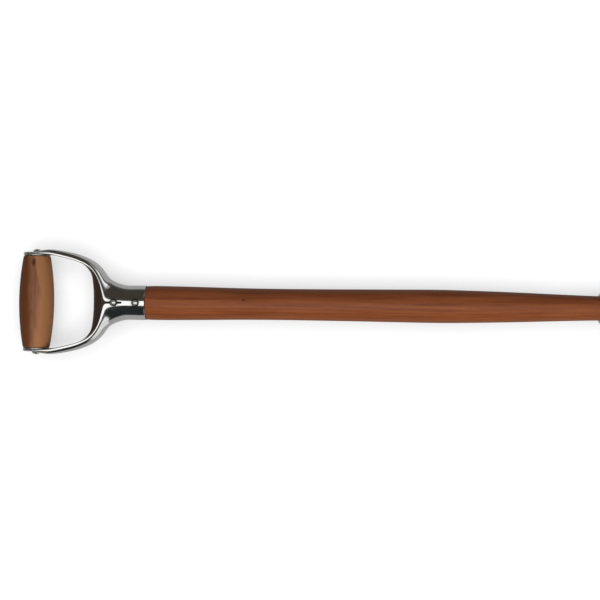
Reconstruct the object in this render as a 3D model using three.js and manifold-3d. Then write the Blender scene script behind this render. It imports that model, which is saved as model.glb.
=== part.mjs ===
// Garden spade with a D-shaped grip, lying on its back on level ground.
//
// Millimetres. Inside the spade group +X runs along the shaft from the grip to the cutting edge,
// +Y runs along the turned wooden grip, +Z points out of the blade's front face, x = 0 is the
// grip's own axis and z = 0 is the shaft's centre line. The exported group then moves the spade
// so that its origin is the middle of its footprint, on the ground.

import * as THREE from 'three';
import { mergeVertices } from 'three/addons/utils/BufferGeometryUtils.js';
import Module from 'manifold-3d';

const wasm = await Module();
wasm.setup();

// ---------------------------------------------------------------- driving dimensions

const GAP = 0.3;                    // clearance between neighbouring pieces

const GRIP_HALF_LENGTH = 50;
const GRIP_MID_RADIUS = 18.65;
const GRIP_END_RADIUS = 14.3;
const GRIP_EDGE_ROUND = 1.2;

const AXLE_RADIUS = 3;
const AXLE_HEAD_RADIUS = 4.8;       // forged head, on the -Y side
const AXLE_HEAD_HEIGHT = 3.6;
const AXLE_PEEN_RADIUS = 4.4;       // hammered end, on the +Y side
const AXLE_PEEN_HEIGHT = 2.6;

const WASHER_RADIUS = 14;
const WASHER_THICKNESS = 1.6;

const SHEET = 2;                    // wall of the steel yoke
const TUBE_RADIUS = 18.9;           // outside of the yoke's tube
const TUBE_START_X = 96.7;          // the slit between the two arms ends here
const TUBE_MOUTH_X = 121;
const SLIT_HALF_WIDTH = 0.4;
const TAB_RADIUS = 14.5;            // round end of each arm, over the axle
const TAB_INNER_Y = GRIP_HALF_LENGTH + WASHER_THICKNESS + 2 * GAP;
const TAB_OUTER_Y = TAB_INNER_Y + SHEET;

const YOKE_RIVET_X = [87.9, 111.3];
const RIVET_RADIUS = 2.25;
const RIVET_HEAD_RADIUS = 3.6;
const RIVET_HEAD_HEIGHT = 1.8;
const RIVET_PEEN_RADIUS = 3.2;
const RIVET_PEEN_HEIGHT = 1.2;

const SHAFT_TOP_X = 80.6;           // end of the tenon inside the yoke
const SHAFT_END_X = 692;            // end of the wood inside the socket
const TENON_RADIUS = TUBE_RADIUS - SHEET - GAP;
const SHAFT_END_RADIUS = 11.2;

const SOCKET_MOUTH_X = 620;
const SOCKET_MOUTH_RADIUS = 15.7;
const SOCKET_TUBE_END_X = 690;
const SOCKET_TUBE_END_RADIUS = 13.6;
const SOCKET_BEAD_RADIUS = 2.6;     // rolled bead round the mouth
const SOCKET_BORE_END_X = SHAFT_END_X + GAP;
const SOCKET_RIVET_X = [641, 671];
const SOCKET_TONGUE_END_X = 846;

const BLADE_TOP_X = 742;
const BLADE_LENGTH = 290;
const BLADE_TOP_HALF_WIDTH = 95;
const BLADE_TIP_HALF_WIDTH = 89;
const BLADE_CORNER_RADIUS = 24;
const BLADE_EDGE_BOW = 9;           // how far the cutting edge bulges past its corners
const BLADE_THICKNESS = 2;
const BLADE_EDGE_THICKNESS = 0.8;
const BLADE_BEVEL_LENGTH = 10;
const BLADE_DISH = 7;               // how far the sides stand forward of the middle
const BLADE_LIFT = THREE.MathUtils.degToRad(4.5);

const TREAD_THICKNESS = 3;
const TREAD_WIDTH = 13;
const TREAD_INNER_Y = 19;
const TREAD_OUTER_Y = 96;
const TREAD_END_ROUND = 5;

// The spade lies on the lower ends of the yoke's rivets and on the two treads.
const GROUND_Z = -(TUBE_RADIUS + GAP + RIVET_PEEN_HEIGHT);
const BLADE_HEEL_Z = GROUND_Z + GAP + BLADE_THICKNESS / 2;

// ---------------------------------------------------------------- materials

function paint(color, roughness, metalness) {
  return new THREE.MeshStandardMaterial({ color, roughness, metalness });
}

const shaftWood = () => paint(0x7c4a2d, 0.5, 0);
const gripWood = () => paint(0x8c5a38, 0.5, 0);
const blockWood = () => paint(0x46342a, 0.6, 0);
const polishedSteel = () => paint(0xc9cac6, 0.12, 1);
const rivetSteel = () => paint(0xd8d6cc, 0.2, 1);
const washerSteel = () => paint(0x5b5a57, 0.35, 1);

// ---------------------------------------------------------------- solids and meshes

function toSolid(geometry) {
  const bare = geometry.clone();
  bare.deleteAttribute('normal');
  bare.deleteAttribute('uv');
  const merged = mergeVertices(bare, 1e-4);
  return new wasm.Manifold(new wasm.Mesh({
    numProp: 3,
    vertProperties: new Float32Array(merged.attributes.position.array),
    triVerts: new Uint32Array(merged.index.array),
  }));
}

function toGeometry(solid) {
  const result = solid.getMesh();
  const geometry = new THREE.BufferGeometry();
  geometry.setAttribute('position', new THREE.BufferAttribute(result.vertProperties, 3));
  geometry.setIndex(new THREE.BufferAttribute(result.triVerts, 1));
  geometry.computeVertexNormals();
  return geometry;
}

function namedMesh(name, shape, material) {
  const geometry = shape instanceof THREE.BufferGeometry ? shape : toGeometry(shape);
  const mesh = new THREE.Mesh(geometry, material);
  mesh.name = name;
  return mesh;
}

function signedVolume(points, triangles) {
  let total = 0;
  const cross = new THREE.Vector3();
  for (let i = 0; i < triangles.length; i += 3) {
    const [a, b, c] = [points[triangles[i]], points[triangles[i + 1]], points[triangles[i + 2]]];
    total += a.dot(cross.crossVectors(b, c)) / 6;
  }
  return total;
}

// Makes an indexed geometry from points and triangles, turned so that its faces point outward.
function closedBody(points, triangles) {
  if (signedVolume(points, triangles) < 0) triangles.reverse();
  const geometry = new THREE.BufferGeometry();
  geometry.setFromPoints(points);
  geometry.setIndex(triangles);
  return geometry;
}

// A bent sheet: two grids of points, one for each face, joined by a rim all the way round.
function sheetBody(frontGrid, backGrid) {
  const rows = frontGrid.length;
  const columns = frontGrid[0].length;
  const points = [...frontGrid.flat(), ...backGrid.flat()];
  const front = (row, column) => row * columns + column;
  const back = (row, column) => rows * columns + row * columns + column;
  const triangles = [];
  const quad = (a, b, c, d) => triangles.push(a, b, c, a, c, d);
  for (let i = 0; i + 1 < rows; i += 1) {
    for (let j = 0; j + 1 < columns; j += 1) {
      quad(front(i, j), front(i, j + 1), front(i + 1, j + 1), front(i + 1, j));
      quad(back(i, j), back(i + 1, j), back(i + 1, j + 1), back(i, j + 1));
    }
    quad(front(i, 0), front(i + 1, 0), back(i + 1, 0), back(i, 0));
    quad(front(i + 1, columns - 1), front(i, columns - 1), back(i, columns - 1), back(i + 1, columns - 1));
  }
  for (let j = 0; j + 1 < columns; j += 1) {
    quad(front(0, j + 1), front(0, j), back(0, j), back(0, j + 1));
    quad(front(rows - 1, j), front(rows - 1, j + 1), back(rows - 1, j + 1), back(rows - 1, j));
  }
  return closedBody(points, triangles);
}

// A solid through a row of closed rings of points, with a fan over each end.
function loftBody(rings) {
  const sides = rings[0].length;
  const points = rings.flat();
  const triangles = [];
  for (let i = 0; i + 1 < rings.length; i += 1) {
    for (let j = 0; j < sides; j += 1) {
      const next = (j + 1) % sides;
      const [a, b] = [i * sides + j, i * sides + next];
      triangles.push(a, b, b + sides, a, b + sides, a + sides);
    }
  }
  const centreOf = (ring) => ring.reduce((sum, p) => sum.add(p), new THREE.Vector3()).divideScalar(sides);
  const firstCentre = points.push(centreOf(rings[0])) - 1;
  const lastCentre = points.push(centreOf(rings[rings.length - 1])) - 1;
  const lastRing = (rings.length - 1) * sides;
  for (let j = 0; j < sides; j += 1) {
    const next = (j + 1) % sides;
    triangles.push(next, j, firstCentre);
    triangles.push(lastRing + j, lastRing + next, lastCentre);
  }
  return closedBody(points, triangles);
}

// A turned piece whose profile is [radius, height] pairs, standing along +Y.
function turned(profile, segments) {
  return new THREE.LatheGeometry(profile.map(([radius, height]) => new THREE.Vector2(radius, height)), segments);
}

const alongX = (geometry) => geometry.rotateZ(-Math.PI / 2);
const alongZ = (geometry) => geometry.rotateX(Math.PI / 2);

// A straight round cutter through a point, along Y or Z.
function drill(radius, length, axis, x) {
  const cylinder = new THREE.CylinderGeometry(radius, radius, length, 16);
  if (axis === 'z') alongZ(cylinder);
  return toSolid(cylinder.translate(x, 0, 0));
}

// Points of a dome from its rim to its top, as [radius, height] pairs.
function domeProfile(rimRadius, height, baseHeight, steps) {
  const profile = [];
  for (let i = 0; i <= steps; i += 1) {
    const angle = (Math.PI / 2) * (i / steps);
    profile.push([i === steps ? 0 : rimRadius * Math.cos(angle), baseHeight + height * Math.sin(angle)]);
  }
  return profile;
}

function mixList(list, t) {
  const place = THREE.MathUtils.clamp(t, 0, 1) * (list.length - 1);
  const index = Math.min(Math.floor(place), list.length - 2);
  return THREE.MathUtils.lerp(list[index], list[index + 1], place - index);
}

function planCurve(pairs) {
  return new THREE.CatmullRomCurve3(pairs.map(([x, y]) => new THREE.Vector3(x, y, 0)), false, 'catmullrom', 0.5);
}

// ---------------------------------------------------------------- yoke

// Each arm is half of the tube, spread outward and flattened towards the grip. These two lines
// run from the tube to the grip, seen from above: the arm's upper and lower edges, and the
// middle of its outer face. Matching entries belong to the same cross-section.
const ARM_EDGE = planCurve([
  [99, SLIT_HALF_WIDTH], [89, SLIT_HALF_WIDTH], [79.7, 0.6], [77.2, 11.5], [74.4, 23.3], [68.9, 33.7],
  [60.5, 41.5], [48, 46.3], [34, 49.8], [18.6, 53.4], [9, 53.6], [1, TAB_OUTER_Y - 0.1],
]);
const ARM_RIDGE = planCurve([
  [99, TUBE_RADIUS], [89.8, 21.1], [83.3, 23.8], [79.3, 26.5], [75.9, 29.7], [70.6, 36.6],
  [62.2, 44.1], [49.2, 49.9], [34.8, 53.8], [18.9, 56.3], [9.1, 54.9], [1, TAB_OUTER_Y],
]);
const ARM_HALF_HEIGHT = [
  TUBE_RADIUS, TUBE_RADIUS, 18.8, 18.5, 18, 17.2, 16.4, 15.6, 15, TAB_RADIUS, TAB_RADIUS, TAB_RADIUS,
];
const ARM_ROWS = 26;
const ARM_COLUMNS = 8;

// One cross-section of an arm: an arc from the lower edge to the upper edge, at a given depth
// inside the outer face. The arc can run on past both edges, to cut a clearance in a neighbour.
function armArc(t, depth, pastEdge) {
  const edge = ARM_EDGE.getPoint(t);
  edge.y = Math.max(edge.y, SLIT_HALF_WIDTH);
  const outward = ARM_RIDGE.getPoint(t).sub(edge);
  const rise = outward.length();
  outward.normalize();
  const halfHeight = mixList(ARM_HALF_HEIGHT, t);
  const radius = (rise * rise + halfHeight * halfHeight) / (2 * rise);
  const halfAngle = Math.atan2(halfHeight, radius - rise) + pastEdge / radius;
  const arc = [];
  for (let j = 0; j <= ARM_COLUMNS; j += 1) {
    const angle = halfAngle * (2 * j / ARM_COLUMNS - 1);
    const reach = (radius - depth) * Math.cos(angle) - radius + rise;
    const point = edge.clone().addScaledVector(outward, reach);
    point.z = (radius - depth) * Math.sin(angle);
    arc.push(point);
  }
  return arc;
}

function armBody(side, clearance) {
  const outer = [];
  const inner = [];
  for (let i = 0; i <= ARM_ROWS; i += 1) {
    outer.push(armArc(i / ARM_ROWS, 0, clearance));
    inner.push(armArc(i / ARM_ROWS, SHEET + clearance, clearance));
  }
  for (const point of [...outer.flat(), ...inner.flat()]) point.y *= side;
  return toSolid(sheetBody(outer, inner));
}

function tabBody(side) {
  const disc = new THREE.CylinderGeometry(TAB_RADIUS, TAB_RADIUS, SHEET, 28);
  return toSolid(disc.translate(0, side * (TAB_OUTER_Y - SHEET / 2), 0));
}

function yoke() {
  const inside = TUBE_RADIUS - SHEET;
  const tube = alongX(turned([
    [inside, TUBE_START_X], [TUBE_RADIUS, TUBE_START_X], [TUBE_RADIUS, TUBE_MOUTH_X],
    [inside, TUBE_MOUTH_X], [inside, TUBE_START_X],
  ], 32));
  let body = toSolid(tube);
  for (const side of [1, -1]) body = body.add(armBody(side, 0)).add(tabBody(side));
  for (const x of YOKE_RIVET_X) body = body.subtract(drill(RIVET_RADIUS + GAP, 60, 'z', x));
  body = body.subtract(drill(AXLE_RADIUS + GAP, 140, 'y', 0));
  return namedMesh('yoke', body, polishedSteel());
}

// The wooden saddle that fills the crotch between the arms, seen from above, from the middle to
// the tip of one wing. Its front is hollowed across and rounded over from top to bottom, so that
// it suits the fingers. Its back lies against the end of the shaft, and its wings are cut to the
// inside of the arms.
const SADDLE_BACK = [[80.2, 0], [80.2, 12], [78.5, 22], [75.2, 30], [70, 35.6], [61.6, 43], [43, 50]];
const SADDLE_FRONT = [[63.1, 0], [62.9, 10], [62.1, 20.5], [60.4, 30], [56.2, 36.8], [51, 41.4], [42, 45.8]];
const SADDLE_HALF_HEIGHT = [17.6, 17.5, 17.2, 16.4, 15.5, 14.4, 13.4];

function throatBlock() {
  const mirrored = (pairs) => planCurve([...pairs.slice(1).reverse().map(([x, y]) => [x, -y]), ...pairs]);
  const back = mirrored(SADDLE_BACK);
  const front = mirrored(SADDLE_FRONT);
  const rows = 24;
  const steps = 8;
  const rings = [];
  for (let i = 0; i <= rows; i += 1) {
    const t = i / rows;
    const base = back.getPoint(t);
    const reach = front.getPoint(t).sub(base);
    const halfHeight = mixList(SADDLE_HALF_HEIGHT, Math.abs(2 * t - 1));
    const ring = [];
    for (let j = 0; j <= steps; j += 1) {
      const angle = Math.PI * (j / steps - 0.5);
      const point = base.clone().addScaledVector(reach, Math.cos(angle));
      point.z = halfHeight * Math.sin(angle);
      ring.push(point);
    }
    rings.push(ring);
  }
  let body = toSolid(loftBody(rings));
  for (const side of [1, -1]) body = body.subtract(armBody(side, GAP));
  const pieces = body.decompose().sort((a, b) => b.volume() - a.volume());
  return namedMesh('throat_block', pieces[0], blockWood());
}

// ---------------------------------------------------------------- grip

function gripBarrel() {
  const bore = AXLE_RADIUS + GAP;
  const steps = 10;
  const radiusAt = (y) => {
    const share = y / GRIP_HALF_LENGTH;
    return GRIP_MID_RADIUS - (GRIP_MID_RADIUS - GRIP_END_RADIUS) * share * share;
  };
  const bodyEnd = GRIP_HALF_LENGTH - GRIP_EDGE_ROUND;
  const profile = [[bore, -GRIP_HALF_LENGTH], [GRIP_END_RADIUS - GRIP_EDGE_ROUND, -GRIP_HALF_LENGTH]];
  for (let i = 0; i <= steps; i += 1) {
    const y = bodyEnd * (2 * i / steps - 1);
    profile.push([radiusAt(y), y]);
  }
  profile.push([GRIP_END_RADIUS - GRIP_EDGE_ROUND, GRIP_HALF_LENGTH], [bore, GRIP_HALF_LENGTH]);
  profile.push(profile[0]);
  return namedMesh('grip_barrel', toSolid(turned(profile, 24)), gripWood());
}

function gripAxle() {
  const seat = TAB_OUTER_Y + GAP;
  const headEnd = domeProfile(AXLE_HEAD_RADIUS, -AXLE_HEAD_HEIGHT, -seat, 4).reverse();
  const peenEnd = domeProfile(AXLE_PEEN_RADIUS, AXLE_PEEN_HEIGHT, seat, 4);
  const profile = [...headEnd, [AXLE_RADIUS, -seat], [AXLE_RADIUS, seat], ...peenEnd];
  return namedMesh('grip_axle', toSolid(turned(profile, 24)), rivetSteel());
}

function gripWasher(name, side) {
  const near = GRIP_HALF_LENGTH + GAP;
  const far = near + WASHER_THICKNESS;
  const bore = AXLE_RADIUS + GAP;
  const ring = turned([
    [bore, near], [WASHER_RADIUS, near], [WASHER_RADIUS, far], [bore, far], [bore, near],
  ], 32);
  if (side < 0) ring.rotateX(Math.PI);
  return namedMesh(name, toSolid(ring), washerSteel());
}

// ---------------------------------------------------------------- shaft and rivets

// Radius of the visible wood: a swell beside the yoke, a slim waist, a second swell, and a long
// taper into the socket.
const SHAFT_PROFILE = new THREE.SplineCurve([
  [TUBE_MOUTH_X + GAP, 18.35], [136, 18.75], [180, 18.2], [224, 17.4], [275, 17.15], [345, 17.55],
  [400, 18.05], [444, 18.3], [488, 17.5], [532, 16.25], [565, 15.05], [598, 13.95],
  [SOCKET_MOUTH_X, 13.35],
].map(([x, radius]) => new THREE.Vector2(x, radius)));

function shaft() {
  const tenonEnd = TUBE_MOUTH_X + GAP;
  const profile = [[0, SHAFT_TOP_X], [TENON_RADIUS, SHAFT_TOP_X], [TENON_RADIUS, tenonEnd]];
  const steps = 18;
  for (let i = 0; i <= steps; i += 1) {
    const point = SHAFT_PROFILE.getPoint(i / steps);
    profile.push([point.y, point.x]);
  }
  profile.push([SHAFT_END_RADIUS, SHAFT_END_X], [0, SHAFT_END_X]);
  let body = toSolid(alongX(turned(profile, 24)));
  for (const x of [...YOKE_RIVET_X, ...SOCKET_RIVET_X]) {
    body = body.subtract(drill(RIVET_RADIUS + GAP, 60, 'z', x));
  }
  return namedMesh('shaft', body, shaftWood());
}

// A rivet through the wood and both walls: a domed head in front and a hammered end behind.
function rivet(name, x, wallRadius) {
  const seat = wallRadius + GAP;
  const peenEnd = domeProfile(RIVET_PEEN_RADIUS, -RIVET_PEEN_HEIGHT, -seat, 3).reverse();
  const headEnd = domeProfile(RIVET_HEAD_RADIUS, RIVET_HEAD_HEIGHT, seat, 4);
  const profile = [...peenEnd, [RIVET_RADIUS, -seat], [RIVET_RADIUS, seat], ...headEnd];
  return namedMesh(name, toSolid(alongZ(turned(profile, 16)).translate(x, 0, 0)), rivetSteel());
}

// ---------------------------------------------------------------- blade

// Height of the blade's middle surface at a distance along it and a distance from its centre line.
function bladeHeight(along, across) {
  const share = across / BLADE_TOP_HALF_WIDTH;
  return BLADE_HEEL_Z + along * Math.sin(BLADE_LIFT) + BLADE_DISH * share * share;
}

function bladeHalfWidth(along) {
  return THREE.MathUtils.lerp(BLADE_TOP_HALF_WIDTH, BLADE_TIP_HALF_WIDTH, along / BLADE_LENGTH);
}

// Length of the blade at a share of its width from -1 to 1: the cutting edge is an arc with
// rounded corners.
function bladeReach(share) {
  const across = Math.abs(share) * BLADE_TIP_HALF_WIDTH;
  const bow = BLADE_EDGE_BOW * share * share;
  const pastCorner = Math.max(0, across - (BLADE_TIP_HALF_WIDTH - BLADE_CORNER_RADIUS));
  const corner = BLADE_CORNER_RADIUS - Math.sqrt(Math.max(0, BLADE_CORNER_RADIUS ** 2 - pastCorner ** 2));
  return BLADE_LENGTH - bow - corner;
}

function blade() {
  const rows = 12;
  const columns = 18;
  const front = [];
  const back = [];
  for (let i = 0; i <= rows; i += 1) {
    front.push([]);
    back.push([]);
    for (let j = 0; j <= columns; j += 1) {
      const share = Math.sin((Math.PI / 2) * (2 * j / columns - 1));
      const reach = bladeReach(share);
      const bend = reach - BLADE_BEVEL_LENGTH;
      const along = i < rows ? bend * (i / (rows - 1)) : reach;
      const across = share * bladeHalfWidth(along);
      const half = (i < rows ? BLADE_THICKNESS : BLADE_EDGE_THICKNESS) / 2;
      const [x, z] = [BLADE_TOP_X + along, bladeHeight(along, across)];
      front[i].push(new THREE.Vector3(x, across, z + half));
      back[i].push(new THREE.Vector3(x, across, z - half));
    }
  }
  return namedMesh('blade', sheetBody(front, back), polishedSteel());
}

// A flat bar welded along each shoulder of the blade, for the boot to press on.
function tread(name, side) {
  const outline = new THREE.Shape();
  const half = TREAD_WIDTH / 2;
  const roundY = TREAD_OUTER_Y - TREAD_END_ROUND;
  outline.moveTo(TREAD_INNER_Y, -half);
  outline.lineTo(roundY, -half);
  outline.absarc(roundY, -half + TREAD_END_ROUND, TREAD_END_ROUND, -Math.PI / 2, 0);
  outline.absarc(roundY, half - TREAD_END_ROUND, TREAD_END_ROUND, 0, Math.PI / 2);
  outline.lineTo(TREAD_INNER_Y, half);
  const bar = new THREE.ExtrudeGeometry(outline, { depth: TREAD_THICKNESS, bevelEnabled: false, curveSegments: 5 });
  bar.rotateX(Math.PI / 2);
  bar.rotateZ(Math.PI / 2);
  if (side < 0) bar.rotateX(Math.PI);
  bar.translate(BLADE_TOP_X - GAP - TREAD_THICKNESS, 0, GROUND_Z + half);
  return namedMesh(name, toSolid(bar), polishedSteel());
}

// ---------------------------------------------------------------- socket

// The socket is a tapered tube with a rolled bead at its mouth. Past the wood it bends back,
// flattens and spreads into a tongue that lies on the front of the blade.
// Each station: [x, centre height, half width, half height].
const NECK_STATIONS = [
  [684, 0, 13.6, 13.6], [704, -1.6, 13.2, 12.6], [724, -5.4, 13.6, 10.6], [742, -8.6, 15, 8.2],
  [764, -10.6, 17, 5.2], [790, -10.3, 16, 3.2], [818, -8.7, 10.5, 2],
];

function neckBody() {
  const sides = 24;
  const heights = planCurve(NECK_STATIONS.map(([x, z]) => [x, z]));
  const sizes = planCurve(NECK_STATIONS.map(([, , width, height]) => [width, height]));
  const rows = 14;
  const rings = [];
  for (let i = 0; i <= rows; i += 1) {
    const centre = heights.getPoint(i / rows);
    const size = sizes.getPoint(i / rows);
    const ring = [];
    for (let j = 0; j < sides; j += 1) {
      const angle = (2 * Math.PI * j) / sides;
      ring.push(new THREE.Vector3(centre.x, size.x * Math.cos(angle), centre.y + size.y * Math.sin(angle)));
    }
    rings.push(ring);
  }
  rings.push(rings[rows].map((p) => new THREE.Vector3(SOCKET_TONGUE_END_X, p.y * 0.3, p.z * 0.3 - 5)));
  return toSolid(loftBody(rings));
}

function socket() {
  const beadRadius = SOCKET_BEAD_RADIUS;
  const profile = [[0, SOCKET_MOUTH_X]];
  const steps = 6;
  for (let i = 0; i <= steps; i += 1) {
    const angle = Math.PI * (i / steps);
    const along = SOCKET_MOUTH_X + beadRadius * (1 - Math.cos(angle));
    profile.push([SOCKET_MOUTH_RADIUS + beadRadius * Math.sin(angle), along]);
  }
  profile.push([SOCKET_TUBE_END_RADIUS, SOCKET_TUBE_END_X], [0, SOCKET_TUBE_END_X]);
  let body = toSolid(alongX(turned(profile, 24))).add(neckBody());
  const mouthBore = SHAFT_PROFILE.getPoint(1).y + GAP;
  const endBore = SHAFT_END_RADIUS + GAP;
  body = body.subtract(toSolid(alongX(turned([
    [0, SOCKET_MOUTH_X - SOCKET_BEAD_RADIUS], [mouthBore, SOCKET_MOUTH_X - SOCKET_BEAD_RADIUS],
    [mouthBore, SOCKET_MOUTH_X], [endBore, SOCKET_BORE_END_X], [0, SOCKET_BORE_END_X],
  ], 24))));
  for (const x of SOCKET_RIVET_X) body = body.subtract(drill(RIVET_RADIUS + GAP, 60, 'z', x));
  return namedMesh('socket', body, polishedSteel());
}

// ---------------------------------------------------------------- assembly

function socketRadiusAt(x) {
  const share = (x - SOCKET_MOUTH_X) / (SOCKET_TUBE_END_X - SOCKET_MOUTH_X);
  return THREE.MathUtils.lerp(SOCKET_MOUTH_RADIUS, SOCKET_TUBE_END_RADIUS, share);
}

const spade = new THREE.Group();
spade.add(
  shaft(),
  yoke(),
  throatBlock(),
  rivet('yoke_rivet_upper', YOKE_RIVET_X[0], TUBE_RADIUS),
  rivet('yoke_rivet_lower', YOKE_RIVET_X[1], TUBE_RADIUS),
  gripBarrel(),
  gripAxle(),
  gripWasher('grip_washer_left', 1),
  gripWasher('grip_washer_right', -1),
  socket(),
  rivet('socket_rivet_upper', SOCKET_RIVET_X[0], socketRadiusAt(SOCKET_RIVET_X[0])),
  rivet('socket_rivet_lower', SOCKET_RIVET_X[1], socketRadiusAt(SOCKET_RIVET_X[1])),
  blade(),
  tread('tread_left', 1),
  tread('tread_right', -1),
);

const middleX = (BLADE_TOP_X + BLADE_LENGTH - GRIP_MID_RADIUS) / 2;
spade.position.set(-middleX, 0, -GROUND_Z);

const assembly = new THREE.Group();
assembly.add(spade);

export default assembly;
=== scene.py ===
import math
from typing import NamedTuple

import bmesh
import bpy
import numpy as np
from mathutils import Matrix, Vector
from mathutils.bvhtree import BVHTree


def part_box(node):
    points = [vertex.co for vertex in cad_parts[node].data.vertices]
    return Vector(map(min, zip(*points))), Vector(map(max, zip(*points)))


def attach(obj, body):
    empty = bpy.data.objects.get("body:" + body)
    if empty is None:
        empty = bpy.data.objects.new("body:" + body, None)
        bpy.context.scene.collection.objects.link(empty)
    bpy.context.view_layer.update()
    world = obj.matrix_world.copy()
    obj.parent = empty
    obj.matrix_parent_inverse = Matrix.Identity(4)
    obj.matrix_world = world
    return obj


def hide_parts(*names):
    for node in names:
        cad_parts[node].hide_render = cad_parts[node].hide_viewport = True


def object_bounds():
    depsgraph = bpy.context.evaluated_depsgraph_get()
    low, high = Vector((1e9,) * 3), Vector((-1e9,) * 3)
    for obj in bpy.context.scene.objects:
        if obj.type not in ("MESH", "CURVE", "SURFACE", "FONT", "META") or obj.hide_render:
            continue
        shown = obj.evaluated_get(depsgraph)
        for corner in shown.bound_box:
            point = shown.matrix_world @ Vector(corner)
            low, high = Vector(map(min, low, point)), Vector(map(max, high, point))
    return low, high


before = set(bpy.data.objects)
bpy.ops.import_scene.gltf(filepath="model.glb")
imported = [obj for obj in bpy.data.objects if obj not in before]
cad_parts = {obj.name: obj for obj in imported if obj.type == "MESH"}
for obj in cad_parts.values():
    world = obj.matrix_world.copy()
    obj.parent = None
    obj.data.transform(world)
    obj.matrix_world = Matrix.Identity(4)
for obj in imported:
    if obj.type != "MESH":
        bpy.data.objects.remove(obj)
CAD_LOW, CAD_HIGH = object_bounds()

# The garden spade's visual model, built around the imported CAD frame.
#
# Shapes are worked out in millimetres, in the spade's own axes: +X along the shaft from the grip
# to the cutting edge, +Y along the grip, +Z out of the blade's front, x = 0 on the grip's axis and
# z = 0 on the shaft's centre line. Every piece's object stands at that origin, in metres.

MM = 0.001
X, Y, Z = range(3)
GRIP_LOW, GRIP_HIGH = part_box("grip_barrel")
ORIGIN = Vector(((GRIP_LOW.x + GRIP_HIGH.x) / 2, 0, (GRIP_LOW.z + GRIP_HIGH.z) / 2))


def box_mm(node):
    """Lowest and highest corner of a CAD node, in millimetres in the spade's own axes."""
    low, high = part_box(node)
    return (low - ORIGIN) / MM, (high - ORIGIN) / MM


# ------------------------------------ sizes, in millimetres

SHEET = 2.0                 # wall of the yoke
TUBE_RADIUS = 18.9
TUBE_MOUTH_X = 121.0
SLIT_END_X = 96.7
SLIT_HALF_WIDTH = 0.5
LIP_ROUND = 0.95            # rounding along the yoke's cut edges
MOUTH_ROUND = 0.5

# Cross-sections of one half of the yoke, from the tube's mouth to the tab: the place of the sheet's
# cut edges, the place of the middle of its outer face, its half height, and how far the rounding
# between its level top and its upright wall reaches across and down.
YOKE_STATIONS = [
    (121.0, 0.0, 121.0, 18.9, 18.9, 18.9, 18.9), (110.0, 0.0, 110.0, 18.9, 18.9, 18.9, 18.9),
    (99.0, 0.0, 99.4, 18.9, 18.9, 18.9, 18.9), (89.0, 0.0, 90.8, 20.9, 18.8, 20.9, 18.8),
    (78.0, 0.9, 83.6, 24.0, 18.6, 22.4, 18.0), (74.8, 10.5, 79.6, 26.6, 18.1, 15.5, 16.0),
    (71.6, 21.5, 75.9, 30.4, 17.6, 9.0, 13.0), (66.0, 32.0, 70.9, 37.0, 17.1, 6.0, 10.0),
    (58.0, 39.4, 62.5, 44.6, 16.6, 5.2, 9.0), (46.6, 44.3, 49.3, 51.0, 16.0, 5.2, 8.5),
    (33.0, 47.9, 34.8, 54.9, 15.4, 5.1, 7.5), (18.3, 51.2, 18.9, 57.0, 14.9, 3.9, 4.5),
    (8.8, 51.8, 9.1, 56.2, 14.6, 3.2, 3.2), (1.0, 52.2, 1.0, 54.2, 14.5, 1.5, 1.5),
]

# Outline of the saddle block seen from above, from its middle to the tip of one wing: where its
# back meets the steel, where its rounded front stands, and its half height.
SADDLE_STATIONS = [
    (80.2, 0.0, 63.1, 0.0, 17.6), (80.2, 12.0, 62.9, 10.0, 17.5), (78.5, 22.0, 62.1, 20.5, 17.2),
    (75.2, 30.0, 60.4, 30.0, 16.4), (70.0, 35.6, 56.2, 36.8, 15.5), (61.6, 43.0, 51.0, 41.4, 14.4),
    (43.0, 50.0, 42.0, 45.8, 13.4),
]

# Radius of the visible wood against the distance from the grip's axis.
SHAFT_STATIONS = [
    (121.3, 18.35), (136, 18.75), (180, 18.2), (224, 17.4), (275, 17.15), (345, 17.55), (400, 18.05),
    (444, 18.3), (488, 17.5), (532, 16.25), (565, 15.05), (598, 13.95), (620, 13.35),
]
SHAFT_END_RADIUS = 11.2

TENON_CLEARANCE = 0.3       # between the shaft's tenon and the inside of the yoke's tube
SHAFT_SHOULDER_ROUND = 0.7


class RivetSize(NamedTuple):
    """Both ends are low domes: the head, and the end that is hammered closed. An extra is how far
    an end stands past the CAD's, and the skirt is how far the rims reach down over the wall."""

    radius: float
    head_radius: float
    head_height: float
    head_extra: float
    closed_radius: float
    closed_height: float
    closed_extra: float
    skirt: float


TUBE_RIVET = RivetSize(
    radius=2.25, head_radius=4.0, head_height=2.3, head_extra=0.3,
    closed_radius=3.2, closed_height=1.2, closed_extra=0.0, skirt=0.9,
)
GRIP_AXLE = RivetSize(
    radius=3.0, head_radius=4.8, head_height=3.6, head_extra=0.0,
    closed_radius=4.4, closed_height=3.4, closed_extra=0.8, skirt=0.3,
)
DOME_CHAMFER = 0.25
DOME_FULLNESS = 2.05        # 2 is an ellipse, and more is squarer
AXLE_CLEARANCE = 0.3        # between the axle and the bores of the barrel and the washers
WASHER_ROUND = 0.35

GRIP_EDGE_ROUND = 1.2
GRIP_END_RADIUS = 14.3

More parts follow.
